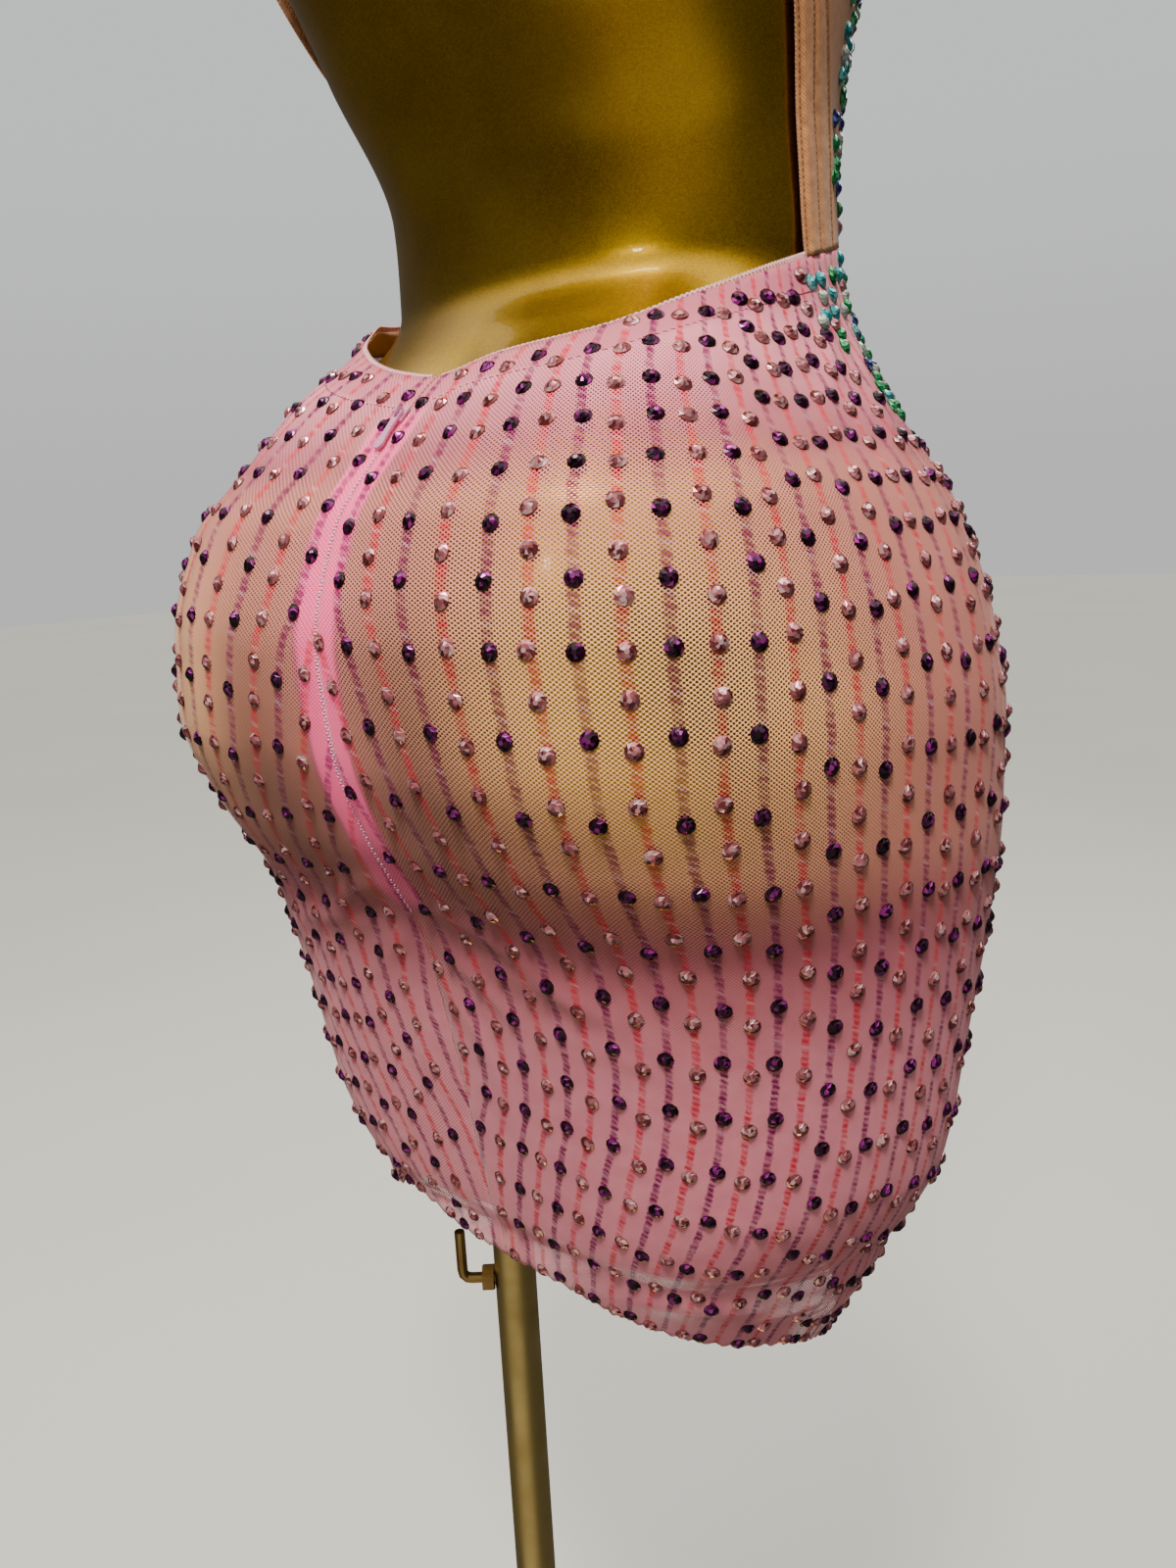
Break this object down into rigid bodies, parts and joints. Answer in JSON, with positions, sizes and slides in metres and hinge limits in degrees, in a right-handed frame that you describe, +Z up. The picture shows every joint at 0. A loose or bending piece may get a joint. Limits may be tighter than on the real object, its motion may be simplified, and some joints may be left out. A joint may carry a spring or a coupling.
{
  "type": "mesh mini dress on dress form",
  "caption": "Close-fitting striped power-mesh mini dress with an open back and a back zip, worn by a limbless glossy dress form on a round-based floor stand.",
  "frame": {"origin": "centre of the round base's underside, on the pole's axis", "axes": "+Z up along the pole, -Y out of the front of the form, +X to the form's left side"},
  "size_m": [0.3892, 0.3591, 1.543],
  "materials": {
    "stand_brass": "semi-gloss lacquered brass tube and plate",
    "clamp_brass": "darkened antique brass",
    "form_lacquer": "glossy metallic gold lacquer on fibreglass",
    "skirt_mesh": "pink stretch power mesh with printed broken stripes",
    "waist_elastic": "soft picot-edged elastic",
    "zip_tape": "woven zip tape seen through the mesh",
    "zip_pull": "lilac enamelled metal",
    "bodice_mesh": "nude stretch mesh"
  },
  "bodies": {
    "dressed_form": {"base_plate": "stand_brass", "base_collar": "stand_brass", "pole": "stand_brass", "inner_tube": "stand_brass", "form_flange": "stand_brass", "clamp_nut": "clamp_brass", "clamp_screw": "clamp_brass", "dress_form": "form_lacquer", "skirt_front": "skirt_mesh", "skirt_back_right": "skirt_mesh", "skirt_back_left": "skirt_mesh", "waist_elastic_right": "waist_elastic", "waist_elastic_left": "waist_elastic", "zip_tape_right": "zip_tape", "zip_tape_left": "zip_tape", "zip_slider": "zip_pull", "bodice_front": "bodice_mesh", "side_casing_right": "bodice_mesh", "bodice_side_right": "bodice_mesh", "shoulder_strap_right": "bodice_mesh", "side_casing_left": "bodice_mesh", "bodice_side_left": "bodice_mesh", "shoulder_strap_left": "bodice_mesh"},
    "pull_tab": {"zip_pull_tab": "zip_pull"}
  },
  "joints": [
    {"name": "pull_tab_lift", "type": "hinge", "parent": "dressed_form", "child": "pull_tab", "pos_m": [-0.029, 0.05701, 0.97466], "axis": [1, 0, 0], "range_deg": [0, 160]}
  ]
}
